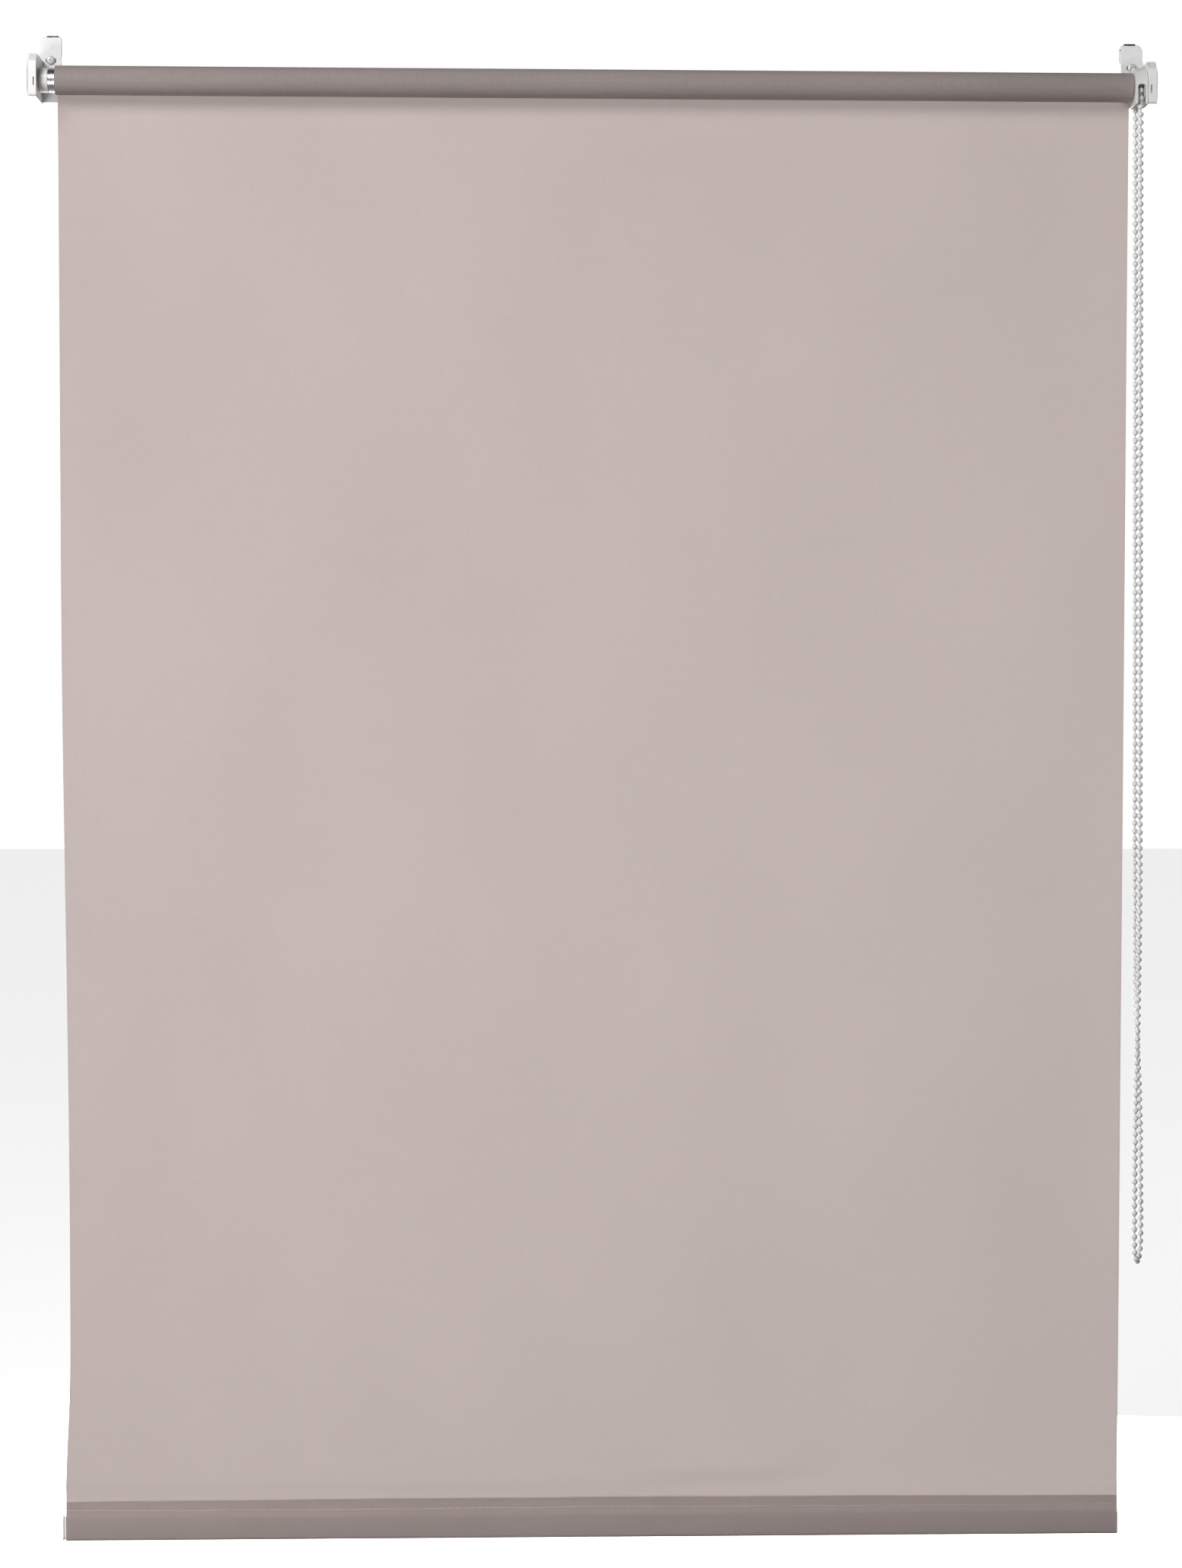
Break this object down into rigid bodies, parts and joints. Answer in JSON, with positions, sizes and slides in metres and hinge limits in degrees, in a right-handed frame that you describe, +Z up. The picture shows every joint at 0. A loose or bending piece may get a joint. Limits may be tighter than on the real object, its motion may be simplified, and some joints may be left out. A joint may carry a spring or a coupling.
{
  "type": "roller blind",
  "caption": "Clip-on mini roller blind with a bead chain drive: fabric on a slim tube between two covered brackets that hook over a window sash, and a weighted hem.",
  "frame": {"origin": "middle of the blind's width, on the back of the clip pads where they meet the sash face, and on the underside of the hooks where they rest on the sash's top edge", "axes": "+X to the right as seen from the room, along the roll; +Y back towards the window; +Z up"},
  "size_m": [0.8384, 0.0571, 1.1313],
  "materials": {
    "blind_fabric": "plain woven polyester, fine vertical slub, light mauve-taupe",
    "white_plastic": "moulded, fine satin",
    "drive_plastic": "moulded acetal, satin",
    "clear_plastic": "moulded, tinted towards the fabric",
    "bead_plastic": "white plastic beads on a cord",
    "white_steel": "white powder coat",
    "bright_steel": "zinc plated",
    "foam": "closed-cell adhesive foam",
    "aluminium": "mill finish, drawn"
  },
  "bodies": {
    "root": {"hook_left": "white_steel", "hook_right": "white_steel", "clip_pad_left": "foam", "clip_pad_right": "foam", "clip_screw_left": "bright_steel", "clip_screw_right": "bright_steel", "bracket_left": "white_plastic", "bracket_right": "white_plastic", "cover_left": "white_plastic", "cover_right": "white_plastic", "drive_axle": "drive_plastic", "retaining_ring": "bright_steel", "chain_guard": "white_plastic", "wheel_beads": "bead_plastic", "bead_chain": "bead_plastic"},
    "roll": {"roller_tube": "aluminium", "fabric_roll": "blind_fabric", "idle_plug": "white_plastic", "idle_spring": "bright_steel", "drive_plug": "drive_plastic", "clutch_spring_inner": "bright_steel", "clutch_spring_outer": "bright_steel", "chain_wheel": "drive_plastic"},
    "pin": {"idle_pin": "bright_steel"},
    "curtain": {"fabric_sheet": "blind_fabric"},
    "bar": {"hem_pocket": "blind_fabric", "bottom_bar": "aluminium", "bar_plug_left": "clear_plastic", "bar_plug_right": "clear_plastic"}
  },
  "joints": [
    {"name": "sheet_swing", "type": "hinge", "parent": "root", "child": "curtain", "pos_m": [0, -0.01128, -0.036], "axis": [-1, 0, 0], "range_deg": [0, 12]},
    {"name": "bar_lift", "type": "slide", "parent": "curtain", "child": "bar", "axis": [0, 0, 1], "range_m": [0, 1.04], "deforming": ["fabric_sheet"]},
    {"name": "roll_turn", "type": "hinge", "parent": "root", "child": "roll", "pos_m": [0, -0.0226, -0.036], "axis": [1, 0, 0], "range_deg": [0, 4400]},
    {"name": "pin_press", "type": "slide", "parent": "roll", "child": "pin", "axis": [1, 0, 0], "range_m": [0, 0.0045], "stiffness_N_per_m": 500, "springref_m": -0.003, "deforming": ["idle_spring"]}
  ],
  "couplings": [
    {"joint": "roll_turn", "follows": "bar_lift", "rad_per_m": 73.8}
  ]
}
